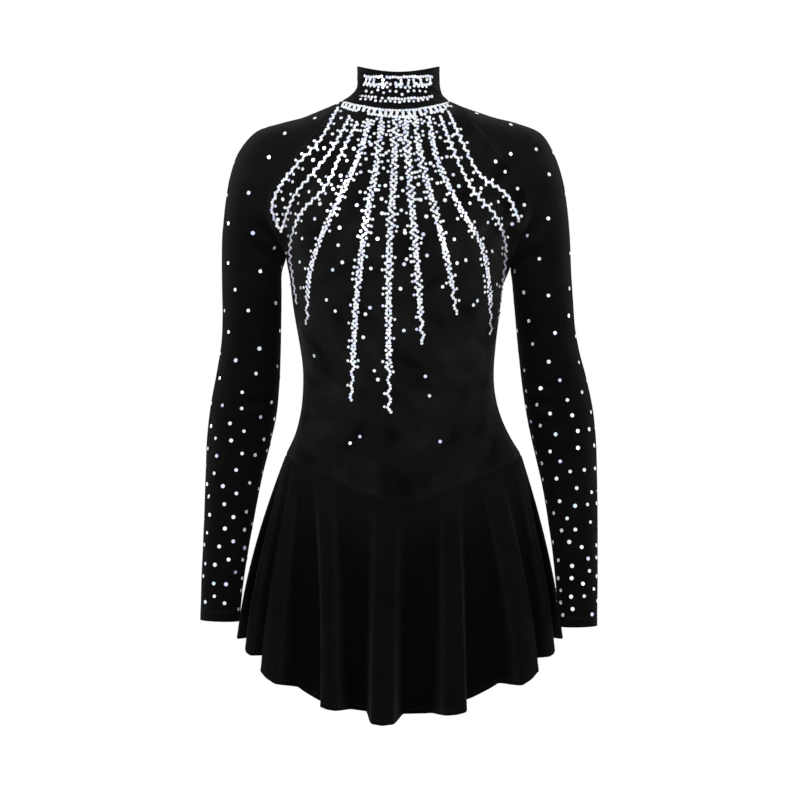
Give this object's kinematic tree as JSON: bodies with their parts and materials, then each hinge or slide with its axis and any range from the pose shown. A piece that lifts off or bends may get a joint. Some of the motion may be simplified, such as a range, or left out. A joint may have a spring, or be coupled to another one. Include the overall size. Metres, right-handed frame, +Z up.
{
  "type": "figure skating dress",
  "caption": "Black long-sleeved velvet skating dress with a stand-up collar, raglan sleeves, a fluted skirt on a dipping seam, briefs beneath and rays of crystal stones.",
  "frame": {"origin": "midway between the wearer's shoulders, on the body's axis, level with the top of the shoulders beside the neck", "axes": "+Z up along the body, -Y towards the front of the dress, +X towards the wearer's left"},
  "size_m": [0.4969, 0.3444, 0.811],
  "materials": {
    "velvet": "black stretch velvet, matt pile with a faint sheen at grazing angles",
    "zip_metal": "black-lacquered zip slider and pull tab"
  },
  "bodies": {
    "dress": {"collar": "velvet", "front": "velvet", "back_left": "velvet", "back_right": "velvet", "sleeve_left": "velvet", "sleeve_right": "velvet", "skirt_front": "velvet", "skirt_back": "velvet", "brief_front": "velvet", "brief_back": "velvet", "zip_slider": "zip_metal"},
    "zip_pull": {"zip_tab": "zip_metal"}
  },
  "joints": [
    {"name": "zip_tab_swing", "type": "hinge", "parent": "dress", "child": "zip_pull", "pos_m": [0, 0.05414, 0.053], "axis": [1, 0, 0], "range_deg": [0, 165]}
  ]
}
